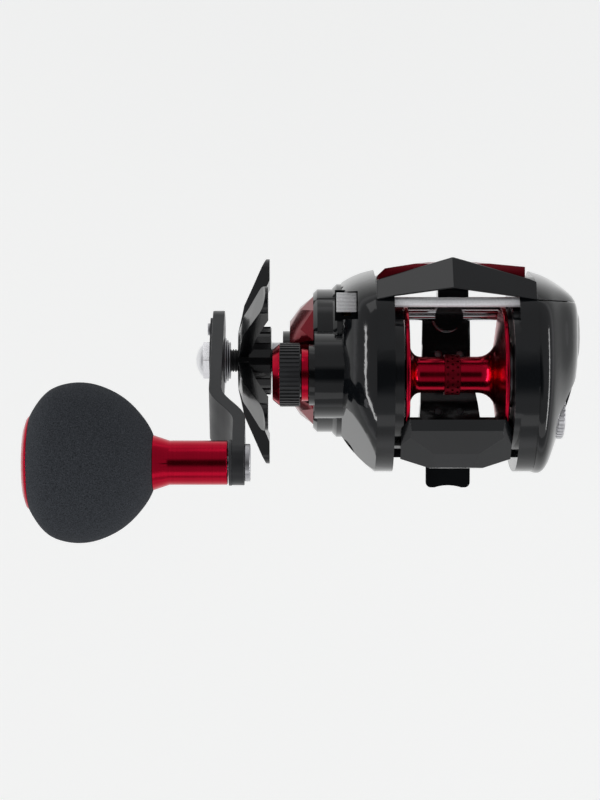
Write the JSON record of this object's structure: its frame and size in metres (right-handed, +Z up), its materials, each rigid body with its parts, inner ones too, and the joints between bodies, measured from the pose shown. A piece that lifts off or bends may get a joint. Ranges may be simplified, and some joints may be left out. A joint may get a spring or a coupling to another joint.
{
  "type": "baitcasting reel",
  "caption": "Low-profile baitcasting fishing reel with a left-hand power handle, star drag, cast control cap, level wind, thumb bar and palm-side brake dial.",
  "frame": {"origin": "on the foot's underside, in the middle of its width and 2 mm behind the spool's axis, in the plane of its two flat lands, where it sits on the rod's reel seat", "axes": "+X towards the palm side, away from the handle; +Y along the rod towards its tip; +Z up, away from the rod"},
  "size_m": [0.1465, 0.0763, 0.0974],
  "materials": {
    "gloss_black": "high gloss black shell",
    "frame_black": "gloss black painted alloy",
    "satin_black": "satin black",
    "arm_grey": "dark grey satin paint",
    "red_anodised": "bright red anodised, turned",
    "red_cover": "gloss metallic red",
    "polished_steel": "polished",
    "steel": "machined steel",
    "silver_alloy": "satin silver",
    "brass": "machined brass",
    "carbon": "woven carbon washers",
    "foam": "charcoal EVA foam"
  },
  "bodies": {
    "frame": {"main_frame": "frame_black", "front_hood": "gloss_black", "front_cowl": "red_cover", "reel_foot": "frame_black", "foot_rivets": "steel", "upper_pillar": "polished_steel", "handle_side_plate": "gloss_black", "side_accent_cover": "red_cover", "side_plate_screws": "steel", "palm_side_plate": "gloss_black", "palm_corner_panel": "gloss_black", "brake_housing": "satin_black", "brake_magnets": "steel", "spool_bearings": "steel", "cast_ring": "red_anodised", "worm_bushings": "satin_black", "guide_rod": "steel", "roller_clutch": "steel", "frame_bearings": "steel", "yoke_posts": "steel", "yoke_springs": "steel"},
    "thumb": {"thumb_bar": "satin_black", "clutch_plate": "steel"},
    "yoke": {"clutch_yoke": "satin_black"},
    "pinion": {"pinion": "brass"},
    "spool": {"spool": "red_anodised", "spool_band": "red_anodised", "spool_shaft": "steel", "spool_pin": "steel", "brake_rotor": "silver_alloy"},
    "worm": {"worm_shaft": "polished_steel", "worm_gear": "satin_black"},
    "guide": {"line_guide": "gloss_black", "guide_ring": "steel", "pawl": "brass", "pawl_cap": "polished_steel"},
    "handle": {"drive_shaft": "satin_black", "main_gear": "brass", "levelwind_gear": "satin_black", "ratchet": "steel", "drag_washers": "carbon", "drag_plates": "steel", "clutch_sleeve": "steel", "spring_washers": "steel", "handle_arm": "arm_grey", "arm_nut": "polished_steel", "nut_retainer": "satin_black", "retainer_screw": "steel", "knob_post": "steel", "knob_washer": "satin_black"},
    "star": {"star_drag": "gloss_black"},
    "knob": {"knob_bearings": "steel", "knob_collar": "red_anodised", "knob_grip": "foam", "knob_cap": "red_anodised"},
    "cap": {"cast_cap": "satin_black", "cast_cap_insert": "red_anodised", "cast_spacer": "brass"},
    "dial": {"brake_dial": "silver_alloy"},
    "clicker": {"clicker_slider": "silver_alloy"}
  },
  "joints": [
    {"name": "handle_spin", "type": "hinge", "parent": "frame", "child": "handle", "pos_m": [-0.04, 0.00611, 0.0095], "axis": [1, 0, 0], "continuous": true},
    {"name": "spool_spin", "type": "hinge", "parent": "frame", "child": "spool", "pos_m": [0, 0.002, 0.026], "axis": [1, 0, 0], "continuous": true},
    {"name": "worm_spin", "type": "hinge", "parent": "frame", "child": "worm", "pos_m": [0, 0.01861, 0.01309], "axis": [1, 0, 0], "continuous": true},
    {"name": "thumb_bar_press", "type": "hinge", "parent": "frame", "child": "thumb", "pos_m": [0, 0.002, 0.026], "axis": [1, 0, 0], "range_deg": [0, 12]},
    {"name": "yoke_slide", "type": "slide", "parent": "frame", "child": "yoke", "axis": [-1, 0, 0], "range_m": [0, 0.0018], "deforming": ["yoke_springs"]},
    {"name": "pinion_spin", "type": "hinge", "parent": "yoke", "child": "pinion", "pos_m": [-0.028, 0.002, 0.026], "axis": [1, 0, 0], "continuous": true},
    {"name": "guide_slide", "type": "slide", "parent": "frame", "child": "guide", "axis": [1, 0, 0], "range_m": [-0.0076, 0.0078]},
    {"name": "star_turn", "type": "hinge", "parent": "handle", "child": "star", "pos_m": [-0.054, 0.00611, 0.0095], "axis": [1, 0, 0], "range_deg": [-170, 170]},
    {"name": "knob_spin", "type": "hinge", "parent": "handle", "child": "knob", "pos_m": [-0.09, -0.02089, 0.05627], "axis": [1, 0, 0], "continuous": true},
    {"name": "cap_turn", "type": "hinge", "parent": "frame", "child": "cap", "pos_m": [-0.045, 0.002, 0.026], "axis": [1, 0, 0], "range_deg": [-180, 180]},
    {"name": "dial_turn", "type": "hinge", "parent": "frame", "child": "dial", "pos_m": [0.028, -0.007, 0.026], "axis": [1, 0, 0], "range_deg": [0, 270]},
    {"name": "clicker_slide", "type": "slide", "parent": "frame", "child": "clicker", "axis": [0, -1, 0], "range_m": [0, 0.0022]}
  ],
  "couplings": [
    {"joint": "spool_spin", "follows": "handle_spin", "ratio": -4.6667},
    {"joint": "pinion_spin", "follows": "handle_spin", "ratio": -4.6667},
    {"joint": "worm_spin", "follows": "handle_spin", "ratio": -1.6},
    {"joint": "yoke_slide", "follows": "thumb_bar_press", "m_per_rad": 0.0085944}
  ]
}
